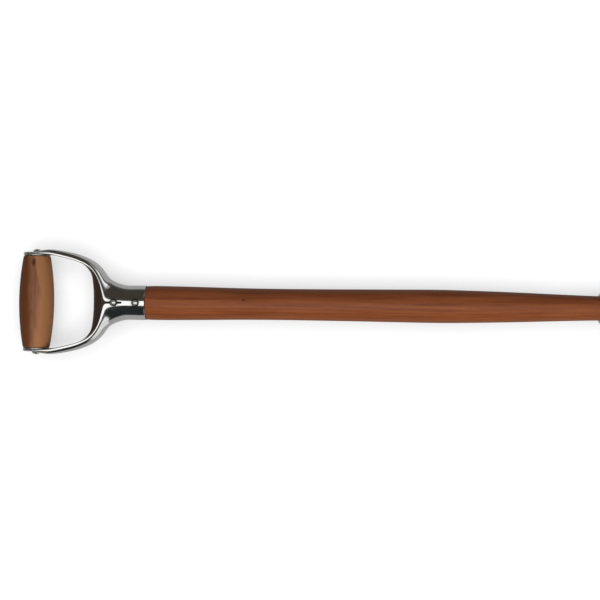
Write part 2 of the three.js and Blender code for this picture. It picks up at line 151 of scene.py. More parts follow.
# Socket from its bead to the tongue's tip: [x, height of the middle, half width, half height].
SOCKET_STATIONS = [
    (627, 0.0, 15.6, 15.6), (648, 0.0, 14.95, 14.95), (668, 0.0, 14.3, 14.3), (686, 0.0, 13.7, 13.7),
    (704, -1.6, 13.2, 12.6), (724, -5.4, 13.6, 10.6), (742, -8.6, 15.0, 8.2), (764, -10.6, 17.0, 5.2),
    (790, -10.3, 16.0, 3.2), (818, -8.7, 10.5, 2.0), (838, -7.9, 5.0, 1.2), (845.5, -7.6, 0.4, 0.5),
]
SOCKET_MOUTH_RADIUS = 15.7
SOCKET_BEAD_RADIUS = 2.6
SOCKET_CLEARANCE = 0.3      # between the wood and the socket
SOCKET_LANDING_START = -14  # the socket settles on the blade between these two, measured along
SOCKET_LANDING_END = 22     # the blade from its upper edge
SOCKET_SINK = 0.5           # how deep the tongue's underside lies in the blade
SOCKET_LEAST_DEPTH = 0.2
TUBE_SQUARENESS = 2.0       # power of a cross-section's outline: 2 is an ellipse
TONGUE_SQUARENESS = 2.6

BLADE_TIP_HALF_WIDTH = 89.0
BLADE_CORNER_RADIUS = 24.0
BLADE_EDGE_BOW = 9.0
BLADE_THICKNESS = 2.0
BLADE_EDGE_THICKNESS = 0.8
BLADE_BEVEL_LENGTH = 9.0
BLADE_DISH = 7.0
BLADE_LIFT = math.radians(4.5)
TREAD_ROUND = 0.7
TREAD_END_ROUND = 5.0
WELD_START_Y = 22.0
WELD_END_Y = 92.0
WELD_RADIUS = 1.5
WELD_RIPPLE = 0.09          # size of the bead's waves, as a share of its radius
WELD_INSET = 0.5            # from the blade's upper edge to the bead's middle
WELD_RISE = 0.2             # from the blade's face to the bead's middle


# ------------------------------------ curves

def shares(steps):
    """The shares from 0 to 1, in equal steps."""
    return [i / steps for i in range(steps + 1)]


def spline(stations, t):
    """Catmull-Rom curve through rows of numbers, at a share t of their count."""
    last = len(stations) - 1
    place = min(max(t, 0.0), 1.0) * last
    i = min(int(place), last - 1)
    w = place - i
    p1, p2 = stations[i], stations[i + 1]
    p0 = stations[i - 1] if i > 0 else 2 * p1 - p2
    p3 = stations[i + 2] if i + 2 <= last else 2 * p2 - p1
    v1, v2 = (p2 - p0) / 2, (p3 - p1) / 2
    cubic = (2 * (p1 - p2) + v1 + v2) * w ** 3
    return cubic + (3 * (p2 - p1) - 2 * v1 - v2) * w ** 2 + v1 * w + p1


class SmoothCurve:
    """A curve through stations, softened so that its bends show no kinks in a reflection."""

    SAMPLES = 1200

    def __init__(self, stations, softness):
        table = np.array(stations, float)
        raw = np.array([spline(table, share) for share in shares(self.SAMPLES)])
        reach = int(softness * 3 * self.SAMPLES)
        before = 2 * raw[0] - raw[reach:0:-1]
        after = 2 * raw[-1] - raw[-2:-reach - 2:-1]
        padded = np.vstack([before, raw, after])
        steps = np.arange(-reach, reach + 1) / (softness * self.SAMPLES)
        weights = np.exp(-steps ** 2 / 2)
        weights /= weights.sum()
        self.table = np.stack([np.convolve(column, weights, "valid") for column in padded.T], 1)
        self.places = np.linspace(0, 1, self.SAMPLES + 1)

    def at(self, t):
        return np.array([np.interp(t, self.places, column) for column in self.table.T])

    def find(self, column, value):
        """The share t at which a column that only falls reaches a value."""
        return float(np.interp(-value, -self.table[:, column], self.places))


def full_turn(steps):
    """Angles round a full turn, where the last is the first again."""
    return [2 * math.pi * (i % steps) / steps for i in range(steps + 1)]


def smooth_step(low, high, value):
    share = min(max((value - low) / (high - low), 0.0), 1.0)
    return share * share * (3 - 2 * share)


def mix(a, b, share):
    return a + (b - a) * share


def corner(before, point, after, steps):
    """Points of a rounded corner, from before, bending towards point, to after."""
    a, b, c = (np.array(p, float) for p in (before, point, after))
    return [a * (1 - s) ** 2 + b * 2 * s * (1 - s) + c * s ** 2 for s in shares(steps)]


def quarter_round(size, steps):
    """A rounded edge as pairs: how far each point lies in from the side, and in from the end."""
    angles = [math.pi / 2 * share for share in shares(steps)]
    return [(size * (1 - math.sin(angle)), size * (1 - math.cos(angle))) for angle in angles]


def rounded(profile, steps):
    """A 2-D profile whose entries are (radius, height, rounding), with each corner rounded."""
    points = [np.array(p[:2], float) for p in profile]
    result = []
    for i, (_, _, size) in enumerate(profile):
        if not size or i in (0, len(profile) - 1):
            result.append(points[i])
            continue
        to_last, to_next = points[i - 1] - points[i], points[i + 1] - points[i]
        before = points[i] + to_last / np.linalg.norm(to_last) * size
        after = points[i] + to_next / np.linalg.norm(to_next) * size
        result.extend(corner(before, points[i], after, steps))
    return result


# ------------------------------------ meshes

JOIN_DISTANCE = 0.004       # points this close become one, in millimetres
SHORTEST_EDGE = 0.002
CREASE = math.radians(40)   # edges sharper than this stay sharp


class Shell:
    """Faces gathered from grids of points. Grids that share a border are welded along it."""

    def __init__(self):
        self.points = []
        self.faces = []
        self.sides = []     # which of the piece's materials each face wears

    def grid(self, rows, side=0):
        start, width = len(self.points), len(rows[0])
        for row in rows:
            self.points.extend(tuple(float(n) for n in point) for point in row)
        for i in range(len(rows) - 1):
            for j in range(width - 1):
                a = start + i * width + j
                self.faces.append((a, a + 1, a + width + 1, a + width))
                self.sides.append(side)

    def cap(self, ring):
        """A flat face across a ring of points."""
        start = len(self.points)
        self.points.extend(tuple(float(n) for n in point) for point in ring)
        self.faces.append(tuple(range(start, start + len(ring))))
        self.sides.append(0)


def shell_of(*grids):
    shell = Shell()
    for rows in grids:
        shell.grid(rows)
    return shell


def revolve(profile, axis, segments, shift=(0, 0, 0)):
    """Rings of (radius, height) points round an axis, as rows of a grid."""
    rows = []
    for radius, height in profile:
        row = []
        for angle in full_turn(segments):
            across, up = radius * math.cos(angle), radius * math.sin(angle)
            point = {"x": (height, across, up), "y": (across, height, up), "z": (across, up, height)}[axis]
            row.append(tuple(p + s for p, s in zip(point, shift)))
        rows.append(row)
    return rows


def add_piece(name, shell, materials, node=None, body="spade"):
    """Turns a shell into an object at the spade's origin, riding on a CAD body. It can stand for a
    CAD node."""
    mesh = bpy.data.meshes.new(name)
    mesh.from_pydata([Vector(p) * MM for p in shell.points], [], shell.faces)
    mesh.polygons.foreach_set("material_index", shell.sides)
    work = bmesh.new()
    work.from_mesh(mesh)
    bmesh.ops.remove_doubles(work, verts=work.verts, dist=JOIN_DISTANCE * MM)
    bmesh.ops.dissolve_degenerate(work, edges=work.edges, dist=SHORTEST_EDGE * MM)
    bmesh.ops.recalc_face_normals(work, faces=work.faces)
    open_edges = [edge for edge in work.edges if len(edge.link_faces) != 2]
    if open_edges:
        print(f"{name}: {len(open_edges)} edges don't join exactly two faces")
    work.to_mesh(mesh)
    work.free()
    mesh.polygons.foreach_set("use_smooth", [True] * len(mesh.polygons))
    mesh.set_sharp_from_angle(angle=CREASE)
    for material in materials if isinstance(materials, tuple) else (materials,):
        mesh.materials.append(material)
    piece = bpy.data.objects.new(name, mesh)
    piece.location = ORIGIN
    bpy.context.scene.collection.objects.link(piece)
    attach(piece, body)
    if node:
        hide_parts(node)


# ------------------------------------ materials

class Nodes:
    """A node tree, with short calls that add nodes and join them."""

    def __init__(self, tree):
        self.tree = tree

    def join(self, value, socket):
        if isinstance(value, bpy.types.NodeSocket):
            self.tree.links.new(value, socket)
        else:
            socket.default_value = value

    def node(self, kind, inputs=None, **settings):
        made = self.tree.nodes.new(kind)
        for name, value in settings.items():
            setattr(made, name, value)
        for name, value in (inputs or {}).items():
            self.join(value, made.inputs[name])
        return made

    def math(self, operation, a, b=0.0, clamp=False):
        made = self.node("ShaderNodeMath", {0: a, 1: b}, operation=operation, use_clamp=clamp)
        return made.outputs[0]

    def measure(self, operation, a, b=(0, 0, 0)):
        """One number out of vectors, as a LENGTH, DISTANCE or DOT_PRODUCT."""
        return self.node("ShaderNodeVectorMath", {0: a, 1: b}, operation=operation).outputs["Value"]

    def split(self, vector):
        """The X, Y and Z of a vector."""
        return self.node("ShaderNodeSeparateXYZ", {0: vector}).outputs

    def noise(self, vector, scale, detail=3.0, roughness=0.5, distortion=0.0):
        inputs = {"Vector": vector, "Scale": scale, "Detail": detail, "Roughness": roughness,
                  "Distortion": distortion}
        return self.node("ShaderNodeTexNoise", inputs).outputs[0]

    def remap(self, value, low, high, new_low=0.0, new_high=1.0, smooth=False):
        inputs = {"Value": value, "From Min": low, "From Max": high, "To Min": new_low, "To Max": new_high}
        kind = "SMOOTHSTEP" if smooth else "LINEAR"
        return self.node("ShaderNodeMapRange", inputs, interpolation_type=kind).outputs[0]

    def blend(self, factor, a, b):
        """From colour a to colour b. A fixed colour is given without alpha."""
        made = self.node("ShaderNodeMix", {0: factor}, data_type="RGBA", clamp_factor=True)
        for color, socket in ((a, made.inputs[6]), (b, made.inputs[7])):
            self.join((*color, 1) if isinstance(color, tuple) else color, socket)
        return made.outputs[2]

    def ramp(self, value, stops):
        made = self.node("ShaderNodeValToRGB", {"Fac": value})
        elements = made.color_ramp.elements
        while len(elements) < len(stops):
            elements.new(0.5)
        for element, (place, color) in zip(elements, stops):
            element.position = place
            element.color = (*color, 1)
        return made.outputs[0]


class Look(Nodes):
    """A material."""

    def __init__(self, name):
        self.material = bpy.data.materials.new(name)
        self.material.use_nodes = True
        super().__init__(self.material.node_tree)
        self.shader = self.tree.nodes["Principled BSDF"]
        self.coordinates = self.node("ShaderNodeTexCoord").outputs["Object"]

    def scaled(self, scale, shift=(0, 0, 0), turn=(0, 0, 0), source=None):
        """Object coordinates in metres, turned, shifted and stretched."""
        inputs = {"Vector": source or self.coordinates, "Location": shift, "Rotation": turn, "Scale": scale}
        return self.node("ShaderNodeMapping", inputs).outputs[0]

    def knot_distance(self, place, stretch):
        """Distance from a place, in metres. A stretch under 1 draws the knot out along that axis."""
        centre = tuple(p * s for p, s in zip(place, stretch))
        return self.measure("DISTANCE", self.scaled(stretch), centre)

    def bump(self, height, strength, distance):
        inputs = {"Height": height, "Strength": strength, "Distance": distance * MM}
        return self.node("ShaderNodeBump", inputs).outputs[0]

    def finish(self, **inputs):
        for name, value in inputs.items():
            self.join(value, self.shader.inputs[name.replace("_", " ")])
        return self.material


def linear(red, green, blue):
    """A display colour, 0 to 255, as the linear colour that nodes use."""
    def channel(value):
        value /= 255
        return value / 12.92 if value <= 0.04045 else ((value + 0.055) / 1.055) ** 2.4
    return channel(red), channel(green), channel(blue)


GRAIN_STRETCH = 0.045       # scale of the wood's noise along the grain, as a share of that across
TRUNK_TILT = math.radians(0.9)


def wood(name, grain, tones, pith, ring_gap, ring_depth, sheen, patches):
    """Oiled wood. grain is the axis that the fibres follow, tones runs from the darkest colour to
    the lightest, pith shifts the trunk's middle, in metres, and ring_gap is in millimetres."""
    look = Look(name)
    along = [1.0, 1.0, 1.0]
    along[grain] = GRAIN_STRETCH

    def layer(scale, detail, roughness=0.5, shift=(0, 0, 0)):
        """Noise drawn out along the grain. scale counts features in a metre across it."""
        drawn_out = look.scaled([n * scale for n in along], shift=shift)
        return look.noise(drawn_out, 1.0, detail, roughness)

    drift, broad = layer(22, 2.0), layer(60, 2.0)
    streaks, fibres = layer(260, 4.0, 0.6), layer(1500, 3.0, 0.6)
    pores = look.remap(layer(2600, 2.0, shift=(0.3, 0.1, 0.7)), 0.63, 0.72)

    turn = [0.0, 0.0, 0.0]
    turn[Z if grain == X else X] = TRUNK_TILT
    flat = [1.0, 1.0, 1.0]
    flat[grain] = 0.0
    from_pith = look.measure("LENGTH", look.scaled(flat, source=look.scaled((1, 1, 1), pith, turn)))
    distance = look.math("ADD", from_pith, look.remap(drift, 0.0, 1.0, -0.006, 0.006))
    phase = look.math("FRACT", look.math("DIVIDE", distance, ring_gap * MM))
    early = look.remap(phase, 0.0, 0.75, smooth=True)
    late = look.remap(phase, 0.86, 1.0, 1.0, 0.0, smooth=True)
    rings = look.math("MULTIPLY", early, late)

    value = look.remap(rings, 0.0, 1.0, 0.5 - ring_depth / 2, 0.5 + ring_depth / 2)
    for pattern, amount in ((streaks, 0.95), (fibres, 0.45), (broad, patches)):
        value = look.math("ADD", value, look.remap(pattern, 0.0, 1.0, -amount / 2, amount / 2))
    color = look.ramp(value, list(zip(shares(len(tones) - 1), tones)))
    look.color = look.blend(look.math("MULTIPLY", pores, 0.35), color, tones[0])
    relief = look.math("SUBTRACT", look.math("MULTIPLY", fibres, 0.7), look.math("MULTIPLY", pores, 0.6))
    look.finish(Roughness=look.remap(streaks, 0.3, 0.7, 0.40, 0.54), Specular_IOR_Level=sheen,
                Normal=look.bump(relief, 0.35, 0.12))
    return look


SHAFT_TONES = [linear(74, 31, 10), linear(118, 59, 27), linear(138, 75, 36), linear(160, 94, 50)]
GRIP_TONES = [linear(88, 50, 32), linear(118, 74, 50), linear(134, 88, 60), linear(152, 104, 74)]
# Saddle block tones: dark stained wood, with the shade between the arms painted in as well.
STAINED_AND_SHADED_BLOCK_TONES = [linear(28, 18, 13), linear(46, 33, 26), linear(60, 45, 36), linear(80, 62, 50)]


def shaft_wood():
    """The shaft has one small knot, and is painted nearly black, as shade, where the yoke covers it."""
    look = wood("shaft_wood", X, SHAFT_TONES, pith=(0, 0.052, 0.062), ring_gap=3.1, ring_depth=0.16,
                sheen=0.32, patches=0.34)
    knot = look.knot_distance((0.2285, 0.0045, 0.0168), (0.55, 1, 1))
    spot = look.remap(knot, 0.0005, 0.0013, 0.85, 0.0)
    color = look.blend(spot, look.color, linear(40, 18, 10))
    # Painted shade: the wood inside the yoke's tube, seen through the slit, is nearly black.
    painted_shade_under_yoke = look.math("LESS_THAN", look.split(look.coordinates)["X"], TUBE_MOUTH_X * MM)
    return look.finish(Base_Color=look.blend(painted_shade_under_yoke, color, linear(26, 17, 12)))


def grip_wood():
    """The barrel's wood is dark along its -X side, partly darker wood and partly painted shade on the side
    turned from the light, and pale along its +X side, beyond a line that bends and blurs, and it has one
    small knot near its +Y end. All lengths are in metres."""
    look = wood("grip_wood", Y, GRIP_TONES, pith=(0.040, 0, 0.075), ring_gap=3.6, ring_depth=0.12,
                sheen=0.18, patches=0.22)
    across, along, _ = look.split(look.coordinates)
    wander = look.noise(look.scaled((70, 30, 70)), 1.0, 3.0)
    across = look.math("ADD", across, look.remap(wander, 0.2, 0.8, -0.004, 0.004))
    # Partly painted shade: the -X side, turned from the light, is darkened along with the darker wood
    # there.
    dark = look.remap(across, -0.0006, -0.0075, smooth=True)
    bend = look.math("ABSOLUTE", look.math("SUBTRACT", along, 0.006))
    line = look.math("ADD", across, look.math("MULTIPLY", bend, 0.14))
    past_line = look.math("SUBTRACT", line, 0.0082)
    blur = look.remap(along, -0.012, 0.020, 0.0052, 0.0010)
    pale = look.remap(look.math("DIVIDE", past_line, blur), -1.0, 1.0, smooth=True)
    color = look.blend(look.math("MULTIPLY", dark, 0.80), look.color, linear(90, 45, 12))
    color = look.blend(look.math("MULTIPLY", pale, 0.55), color, linear(174, 120, 76))
    knot = look.knot_distance((0.0006, 0.0425, 0.0150), (1, 0.45, 1))
    halo = look.remap(knot, 0.0008, 0.0032, 0.85, 0.0, smooth=True)
    return look.finish(Base_Color=look.blend(halo, color, linear(48, 26, 16)))


def block_wood():
    look = wood("block_wood", Y, STAINED_AND_SHADED_BLOCK_TONES, pith=(0.02, 0, 0.045), ring_gap=2.2, ring_depth=0.3,
                sheen=0.35, patches=0.3)
    return look.finish(Base_Color=look.color)


LINE_STRETCH = 0.02         # scale of the polishing lines along their length, as a share
LINE_SCALE = 5200
SCRATCH_SCALE = (14, 900, 900)
SCRATCH_TURNS = ((0.3, 0.2, 0.5), (1.1, 0.6, 2.0))
CREVICE_REACH = 3.0         # millimetres, how far the painted crevice shade looks for another piece


def steel(name, color, roughness, spread, line_axis, line_depth, scratches=0.10, painted_crevice_shade=False,
          painted_dark_rim=False):
    """Polished steel: fine polishing lines along one axis, faint scratches and handling marks.
    The crevice option paints it darker where another piece stands close, as painted shade. The dark rim
    option, for a rivet along line_axis, paints the faces that turn away from that axis dark, as painted
    shade and a painted dark reflection round the head."""
    look = Look(name)
    stretch = [1.0, 1.0, 1.0]
    stretch[line_axis] = LINE_STRETCH
    lines = look.noise(look.scaled([n * LINE_SCALE for n in stretch]), 1.0, 3.0, 0.6)
    smudges = look.noise(look.coordinates, 38.0, 3.0, 0.55, 0.4)
    grime = look.noise(look.scaled((1, 1, 1), shift=(0.2, 0.4, 0.1)), 120.0, 4.0, 0.6)
    marks = []
    for turn in SCRATCH_TURNS:
        streaks = look.noise(look.scaled(SCRATCH_SCALE, turn=turn), 1.0, 1.0)
        marks.append(look.remap(streaks, 0.73, 0.78))
    scratch = look.math("ADD", marks[0], marks[1], clamp=True)
    rough = look.remap(smudges, 0.3, 0.7, roughness - spread / 2, roughness + spread / 2)
    rough = look.math("ADD", rough, look.math("MULTIPLY", scratch, scratches))
    tone = look.remap(grime, 0.35, 0.7, 1.0, 0.93)
    # Painted shade: the colour darkens where ambient occlusion finds another piece within reach.
    if painted_crevice_shade:
        reach = {"Distance": CREVICE_REACH * MM}
        openness = look.node("ShaderNodeAmbientOcclusion", reach, samples=4).outputs["AO"]
        tone = look.math("MULTIPLY", tone, look.remap(openness, 0.55, 0.97, 0.06, 1.0))
    metallic = 1.0
    # Painted shade and dark reflection: the head's sloping rim turns black and not metallic.
    if painted_dark_rim:
        normal = look.node("ShaderNodeNewGeometry").outputs["Normal"]
        facing = look.math("ABSOLUTE", look.split(normal)[line_axis])
        metallic = look.remap(facing, 0.85, 0.95, smooth=True)
        tone = look.math("MULTIPLY", tone, look.remap(metallic, 0.0, 1.0, 0.03, 1.0))
        look.finish(Specular_IOR_Level=0.0)
    dimmed = look.node("ShaderNodeVectorMath", {0: color, "Scale": tone}, operation="SCALE").outputs[0]
    relief = look.math("SUBTRACT", lines, look.math("MULTIPLY", scratch, 0.6))
    return look.finish(Base_Color=dimmed, Metallic=metallic, Roughness=rough,
                       Normal=look.bump(relief, line_depth, 0.02))


def washer_steel():
    look = Look("washer_steel")
    grain = look.noise(look.coordinates, 900.0, 3.0, 0.6)
    patches = look.noise(look.coordinates, 140.0, 2.0)
    color = look.ramp(patches, [(0.35, linear(176, 174, 168)), (0.65, linear(206, 204, 198))])
    rough = look.remap(grain, 0.3, 0.7, 0.24, 0.36)
    return look.finish(Base_Color=color, Metallic=1.0, Roughness=rough, Normal=look.bump(grain, 0.2, 0.03))


# ------------------------------------ yoke

YOKE = SmoothCurve(YOKE_STATIONS, 0.018)
FACE_COLUMNS = 56
LIP_STEPS = 5
TUBE_STEPS = 22
SLIT_STEPS = (0.06, 0.18, 0.35, 0.6, 1.0, 1.6)  # sections past the slit's end, in millimetres
ARM_START = 2.4             # the arm's even sections start here, also past the slit's end
ARM_STEPS = 150
TAB_STEPS = 24


class YokeSection:
    """One cross-section of half of the yoke: a channel whose top and bottom turn in to the cut
    edges. In the tube it is half a circle."""

    def __init__(self, t):
        edge_x, edge_y, ridge_x, ridge_y, self.half_height, self.across, self.down = YOKE.at(t)
        past = max(SLIT_END_X - edge_x, 0.0) / SLIT_HALF_WIDTH
        self.opened = math.sqrt(1 - (1 - min(past, 1.0)) ** 2)
        edge_y = max(edge_y, SLIT_HALF_WIDTH * self.opened) if past else 0.0
        self.edge = np.array([edge_x, edge_y])
        outward = np.array([ridge_x, ridge_y]) - self.edge
        self.rise = float(np.linalg.norm(outward))
        self.outward = outward / self.rise

    def profile(self, depth, share, lip=0.0):
        """Reach and height at a share of the half section, from the middle of the wall (0) to
        the cut edge (1), stopping short of the edge by lip."""
        rise, half_height = self.rise - depth, self.half_height - depth
        across, down = max(self.across - depth, 0.01), max(self.down - depth, 0.01)
        wall, level = half_height - down, rise - across
        turn = math.pi / 2 if level >= 0 else math.acos(-level / across)
        quarter = turn * (across + down) / 2
        travel = share * (wall + quarter + max(level, 0.0) - lip)
        if travel <= wall:
            return rise, travel
        if travel < wall + quarter:
            angle = turn * (travel - wall) / quarter
            return level + across * math.cos(angle), wall + down * math.sin(angle)
        return max(level - (travel - wall - quarter), 0.0), half_height - down + down * math.sin(turn)

    def point(self, depth, share, lip=0.0):
        reach, height = self.profile(depth, abs(share), lip)
        x, y = self.edge + self.outward * reach
        return np.array([x, y, math.copysign(height, share)])

    def face(self, depth, lip):
        """Points across a face from the lower cut edge to the upper one."""
        return [self.point(depth, 2 * j / FACE_COLUMNS - 1, lip) for j in range(FACE_COLUMNS + 1)]


class TabSection(YokeSection):
    """The arm's last section swung round the axle by an angle, which rounds off the tab."""

    def __init__(self, angle):
        super().__init__(1.0)
        self.angle = angle

    def point(self, depth, share, lip=0.0):
        reach, height = self.profile(depth, abs(share), lip)
        up = math.copysign(height * math.cos(self.angle), share)
        return np.array([-height * math.sin(self.angle), self.edge[1] + reach, up])


def lip_path(section, lip, sign):
    """The cut edge of the sheet, from the outer face to the inner face, with rounded corners."""
    outer_start, inner_end = section.point(0, sign, lip), section.point(SHEET, sign, lip)
    outer_corner, inner_corner = section.point(0, sign), section.point(SHEET, sign)
    across = inner_corner - outer_corner
    across *= lip / np.linalg.norm(across)
    path = corner(outer_start, outer_corner, outer_corner + across, LIP_STEPS)
    return path + corner(inner_corner - across, inner_corner, inner_end, LIP_STEPS)


def yoke_shell():
    slit_t = YOKE.find(0, SLIT_END_X)
    per_mm = YOKE.find(0, SLIT_END_X - 1) - slit_t
    mouth_t = YOKE.find(0, TUBE_MOUTH_X - MOUTH_ROUND)
    arm_t = slit_t + per_mm * ARM_START
    tube = [YokeSection(mix(mouth_t, slit_t, share)) for share in shares(TUBE_STEPS)]
    slit = [YokeSection(slit_t + per_mm * past) for past in SLIT_STEPS]
    arm = [YokeSection(mix(arm_t, 1.0, share)) for share in shares(ARM_STEPS)]
    tab = [TabSection(math.pi / 2 * share) for share in shares(TAB_STEPS)]
    closed = [(section, 0.0) for section in tube]
    opened = [(section, LIP_ROUND * section.opened) for section in slit + arm + tab]
    edge = [(depth, MOUTH_ROUND - back) for depth, back in quarter_round(MOUTH_ROUND, LIP_STEPS)]
    mouth = edge[::-1] + [(SHEET - depth, ahead) for depth, ahead in edge]
    shell = Shell()

    def add(rows, side, face=0):
        shell.grid([[(x, y * side, z) for x, y, z in row] for row in rows], face)

    for side in (1, -1):
        # The sheet's inner face wears the second material: rougher steel, painted dark as the shade inside
        # the channel.
        for face, depth in enumerate((0, SHEET)):
            add([section.face(depth, lip) for section, lip in closed + opened], side, face)
        for sign in (1, -1):
            paths = [lip_path(section, lip, sign) for section, lip in opened]
            outer, inner = tube[-1].point(0, sign), tube[-1].point(SHEET, sign)
            half = len(paths[0]) // 2
            add([[outer] * half + [inner] * half] + paths, side)
        mouth_rows = []
        for depth, ahead in mouth:
            mouth_rows.append([(x + ahead, max(y, 0.0), z) for x, y, z in tube[0].face(depth, 0.0)])
        add(mouth_rows, side)
    return shell


SADDLE_ROWS = 96
SADDLE_COLUMNS = 28
SEARCH_STEPS = 60
TIP_GAP = 0.002             # share of the outline by which the block's tips stop short of the steel
SIDE_REACH = 0.998          # share of the way to the steel that its surface runs elsewhere


def throat_block_shell(yoke):
    """The wooden saddle, ending all round where its rounded front runs into the steel."""
    steel_walls = BVHTree.FromPolygons([Vector(p) for p in yoke.points], yoke.faces)
    curve = SmoothCurve(SADDLE_STATIONS, 0.02)

    def point(t, angle):
        back_x, back_y, front_x, front_y, half_height = curve.at(abs(t))
        share = math.cos(angle)
        x, y = mix(back_x, front_x, share), mix(back_y, front_y, share)
        return Vector((x, math.copysign(y, t), half_height * math.sin(angle)))

    def first_hit(path):
        """Share of a path of points that lies before the first wall it meets."""
        for i in range(len(path) - 1):
            leg = path[i + 1] - path[i]
            hit = steel_walls.ray_cast(path[i], leg.normalized(), leg.length)
            if hit[0] is not None:
                return (i + (hit[0] - path[i]).length / leg.length) / (len(path) - 1)
        return 1.0

    tip = first_hit([point(share, 0.0) for share in shares(200)]) - TIP_GAP
    rings = []
    for place in shares(SADDLE_ROWS):
        t = tip * math.sin(math.pi / 2 * (2 * place - 1))
        ends = []
        for sign in (1, -1):
            path = [point(t, sign * math.pi / 2 * share) for share in shares(SEARCH_STEPS)]
            ends.append(math.pi / 2 * first_hit(path) * SIDE_REACH)
        rings.append([point(t, mix(-ends[1], ends[0], share)) for share in shares(SADDLE_COLUMNS)])
    for ring in (rings[0], rings[-1]):
        centre = ring[SADDLE_COLUMNS // 2].copy()
        ring[:] = [centre] * (SADDLE_COLUMNS + 1)
    return shell_of(rings, [[ring[0], ring[-1]] for ring in rings])


def make_handle(looks):
    yoke = yoke_shell()
    add_piece("yoke_steel", yoke, (looks["yoke"], looks["inside"]), "yoke")
    add_piece("saddle_block", throat_block_shell(yoke), looks["block"], "throat_block")
    for name in ("yoke_rivet_upper", "yoke_rivet_lower"):
        rivet = rivet_shell(name, TUBE_RIVET, "z", 1)
        add_piece(name + "_head", rivet, looks["rivet"], name)
    axle = rivet_shell("grip_axle", GRIP_AXLE, "y", -1)
    add_piece("grip_pin", axle, looks["pin"], "grip_axle")
    for name in ("grip_washer_left", "grip_washer_right"):
        add_piece(name + "_ring", washer_shell(name), looks["washer"], name)
    add_piece("turned_barrel", barrel_shell(), looks["grip"], "grip_barrel", "grip")
    add_piece("turned_shaft", shaft_shell(), looks["shaft"], "shaft")


# ------------------------------------ rivets, washers and wood

def dome(rim_radius, seat, top, skirt):
    """Profile of a rivet's end from the shank side of its rim to its top. seat and top are heights
    along the rivet, and the rim reaches skirt past the seat."""
    way = 1 if top > seat else -1
    height = abs(top - seat)
    power = 2 / DOME_FULLNESS
    profile = [
        (rim_radius - DOME_CHAMFER, seat - way * skirt),
        (rim_radius, seat - way * (skirt - DOME_CHAMFER)),
    ]
    for share in shares(14):
        angle = math.pi / 2 * share
        radius = rim_radius * max(math.cos(angle), 0.0) ** power
        profile.append((radius, seat + way * height * math.sin(angle) ** power))
    return profile


def rivet_shell(node, size, axis, way):
    """A rivet along an axis, whose head is at its positive end if way is 1, and at its negative
    end if way is -1."""
    low, high = box_mm(node)
    along = "xyz".index(axis)
    head_top, closed_top = (high[along], low[along]) if way > 0 else (low[along], high[along])
    head_top += way * size.head_extra
    closed_top -= way * size.closed_extra
    head = dome(size.head_radius, head_top - way * size.head_height, head_top, size.skirt)
    closed = dome(size.closed_radius, closed_top + way * size.closed_height, closed_top, size.skirt)
    profile = closed[::-1] + [(size.radius, closed[0][1]), (size.radius, head[0][1])] + head
    return shell_of(revolve(profile, axis, 40, ((low.x + high.x) / 2, 0, 0)))


def washer_shell(node):
    low, high = box_mm(node)
    near, far = sorted((abs(low.y), abs(high.y)))
    side = 1 if high.y > 0 else -1
    bore, outside = GRIP_AXLE.radius + AXLE_CLEARANCE, high.x
    profile = [
        (bore, near, 0), (outside, near, WASHER_ROUND), (outside, far, WASHER_ROUND),
        (bore, far, 0), (bore, near, 0),
    ]
    return shell_of(revolve([(r, y * side) for r, y in rounded(profile, 3)], "y", 72))


def barrel_shell():
    """The grip is a shallow barrel with softened ends, bored for its axle."""
    _, high = box_mm("grip_barrel")
    half, swell = high.y, high.z
    bore = GRIP_AXLE.radius + AXLE_CLEARANCE

    def radius_at(y):
        return swell - (swell - GRIP_END_RADIUS) * (y / half) ** 2

    body_end = half - GRIP_EDGE_ROUND
    body = [(radius_at(y), y) for y in np.linspace(-body_end, body_end, 49)]
    end_corner = corner((radius_at(body_end), body_end), (GRIP_END_RADIUS + 0.1, half),
                        (GRIP_END_RADIUS - GRIP_EDGE_ROUND, half), 6)
    start_corner = [(r, -y) for r, y in reversed(end_corner)]
    profile = [(bore, -half)] + start_corner + body[1:-1] + [tuple(p) for p in end_corner]
    profile += [(bore, half), (bore, -half)]
    return shell_of(revolve(profile, "y", 120))


def shaft_shell():
    low, high = box_mm("shaft")
    start, end = low.x, high.x
    tenon = TUBE_RADIUS - SHEET - TENON_CLEARANCE
    curve = SmoothCurve(SHAFT_STATIONS, 0.012)
    visible = [tuple(reversed(curve.at(share))) for share in shares(180)]
    shoulder_radius, shoulder_x = visible[0]
    shoulder = corner(
        (shoulder_radius - SHAFT_SHOULDER_ROUND, shoulder_x),
        (shoulder_radius, shoulder_x),
        (visible[1][0], shoulder_x + SHAFT_SHOULDER_ROUND), 4,
    )
    profile = [(0, start), (tenon, start), (tenon, shoulder_x)]
    profile += [tuple(p) for p in shoulder] + visible[1:]
    profile += [(SHAFT_END_RADIUS, end), (0, end)]
    return shell_of(revolve(profile, "x", 128))


# ------------------------------------ head

BLADE_LOW, BLADE_HIGH = box_mm("blade")
BLADE_TOP_X = BLADE_LOW.x
BLADE_LENGTH = BLADE_HIGH.x - BLADE_LOW.x
BLADE_HALF_WIDTH = BLADE_HIGH.y
BLADE_HEEL_Z = BLADE_LOW.z + BLADE_THICKNESS / 2


def blade_height(along, across):
    """Height of the blade's middle surface."""
    share = across / BLADE_HALF_WIDTH
    return BLADE_HEEL_Z + along * math.sin(BLADE_LIFT) + BLADE_DISH * share ** 2


def blade_reach(share):
    """Length of the blade at a share of its half width, with rounded corners."""
    past = max(0.0, abs(share) * BLADE_TIP_HALF_WIDTH - (BLADE_TIP_HALF_WIDTH - BLADE_CORNER_RADIUS))
    bite = BLADE_CORNER_RADIUS - math.sqrt(max(0.0, BLADE_CORNER_RADIUS ** 2 - past ** 2))
    return BLADE_LENGTH - BLADE_EDGE_BOW * share ** 2 - bite


